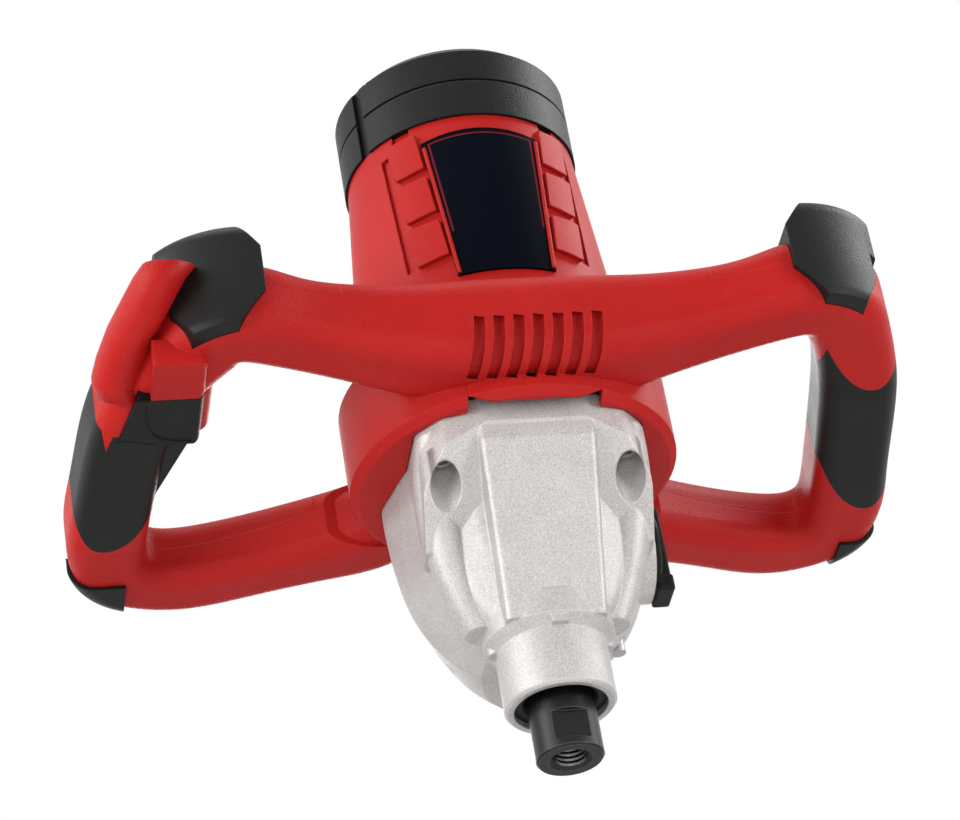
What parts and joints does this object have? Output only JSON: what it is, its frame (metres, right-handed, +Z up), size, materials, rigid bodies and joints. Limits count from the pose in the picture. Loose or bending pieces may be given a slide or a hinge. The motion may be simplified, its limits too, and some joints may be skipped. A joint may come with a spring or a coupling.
{
  "type": "mixing drill",
  "caption": "Hand-held mixing drill: upright motor on a cast gearbox with a threaded spindle, carried between two closed loop handles joined by a ribbed front bridge.",
  "frame": {"origin": "centre of the spindle's end face, on the spindle's axis", "axes": "+Z up the spindle towards the motor, -Y the front with the label panel, +X the viewer's right"},
  "size_m": [0.3384, 0.1961, 0.3125],
  "materials": {
    "red_plastic": "fine-grained moulded plastic",
    "black_plastic": "satin moulded plastic",
    "black_rubber": "soft matt overmould",
    "cast_metal": "blasted die casting",
    "black_steel": "black oxide, turned",
    "bright_steel": "ground",
    "gear_steel": "hobbed and hardened",
    "copper_wire": "lacquered copper",
    "core_iron": "stacked sheet",
    "carbon": "pressed carbon",
    "label_face": "printed film",
    "brush_brass": "pressed sheet"
  },
  "bodies": {
    "housing": {"frame": "red_plastic", "handle_cover_left": "red_plastic", "handle_cover_right": "red_plastic", "motor_housing": "red_plastic", "label_panel": "label_face", "motor_cap": "black_plastic", "cap_cover": "black_plastic", "cap_screws": "bright_steel", "barrel_screws": "bright_steel", "cover_screws": "bright_steel", "grip_right": "black_rubber", "grip_left": "black_rubber", "bumper_right": "black_rubber", "bumper_left": "black_rubber", "foot_right": "black_rubber", "foot_left": "black_rubber", "gearbox_housing": "cast_metal", "bearing_plate": "cast_metal", "gear_cover": "cast_metal", "gearbox_screws": "bright_steel", "shaft_seal": "black_rubber", "neck_bearings": "bright_steel", "bearing_spacer": "bright_steel", "spindle_top_bearing": "bright_steel", "layshaft_bearings": "bright_steel", "fork_rail": "bright_steel", "armature_bearings": "bright_steel", "bearing_cushion": "black_rubber", "stator_core": "core_iron", "field_coils": "copper_wire", "carbon_brushes": "carbon", "brush_holders": "brush_brass", "brush_ring": "black_plastic", "switch_body": "black_plastic", "trigger_guard": "black_plastic", "cable_inlet": "black_rubber"},
    "armature": {"armature_shaft": "bright_steel", "armature_core": "core_iron", "armature_windings": "copper_wire", "commutator": "copper_wire", "cooling_fan": "black_plastic"},
    "layshaft": {"layshaft": "gear_steel", "layshaft_wheel": "gear_steel", "low_pinion": "gear_steel", "high_pinion": "gear_steel"},
    "spindle": {"spindle": "black_steel", "low_wheel": "gear_steel", "wheel_ring": "bright_steel"},
    "high_wheel": {"high_wheel": "gear_steel"},
    "dog_sleeve": {"dog_sleeve": "gear_steel"},
    "shift_fork": {"shift_fork": "gear_steel"},
    "selector": {"selector_shaft": "bright_steel", "selector_knob": "black_plastic"},
    "trigger": {"trigger": "red_plastic"},
    "lock_button": {"lock_button": "black_plastic"}
  },
  "joints": [
    {"name": "armature_spin", "type": "hinge", "parent": "housing", "child": "armature", "pos_m": [0, 0.009, 0.22], "axis": [0, 0, 1], "continuous": true},
    {"name": "layshaft_spin", "type": "hinge", "parent": "housing", "child": "layshaft", "pos_m": [0, 0.034, 0.1], "axis": [0, 0, 1], "continuous": true},
    {"name": "spindle_spin", "type": "hinge", "parent": "housing", "child": "spindle", "pos_m": [0, 0, 0.05], "axis": [0, 0, 1], "continuous": true},
    {"name": "high_wheel_spin", "type": "hinge", "parent": "housing", "child": "high_wheel", "pos_m": [0, 0, 0.08], "axis": [0, 0, 1], "continuous": true},
    {"name": "selector_turn", "type": "hinge", "parent": "housing", "child": "selector", "pos_m": [0.04, 0.014, 0.0942], "axis": [1, 0, 0], "range_deg": [0, 32.15]},
    {"name": "fork_slide", "type": "slide", "parent": "housing", "child": "shift_fork", "axis": [0, 0, 1], "range_m": [-0.00365, 0.00005]},
    {"name": "sleeve_slide", "type": "slide", "parent": "spindle", "child": "dog_sleeve", "axis": [0, 0, 1], "range_m": [-0.00365, 0.00005]},
    {"name": "trigger_press", "type": "slide", "parent": "housing", "child": "trigger", "axis": [-1, 0, 0], "range_m": [0, 0.005], "stiffness_N_per_m": 600},
    {"name": "lock_press", "type": "slide", "parent": "housing", "child": "lock_button", "axis": [0, 0, -1], "range_m": [0, 0.002], "stiffness_N_per_m": 500}
  ],
  "couplings": [
    {"joint": "layshaft_spin", "follows": "armature_spin", "ratio": -0.30556},
    {"joint": "spindle_spin", "follows": "armature_spin", "ratio": 0.096883},
    {"joint": "high_wheel_spin", "follows": "armature_spin", "ratio": 0.19444},
    {"joint": "fork_slide", "follows": "selector_turn", "m_per_rad": -0.006416},
    {"joint": "sleeve_slide", "follows": "selector_turn", "m_per_rad": -0.006416}
  ]
}
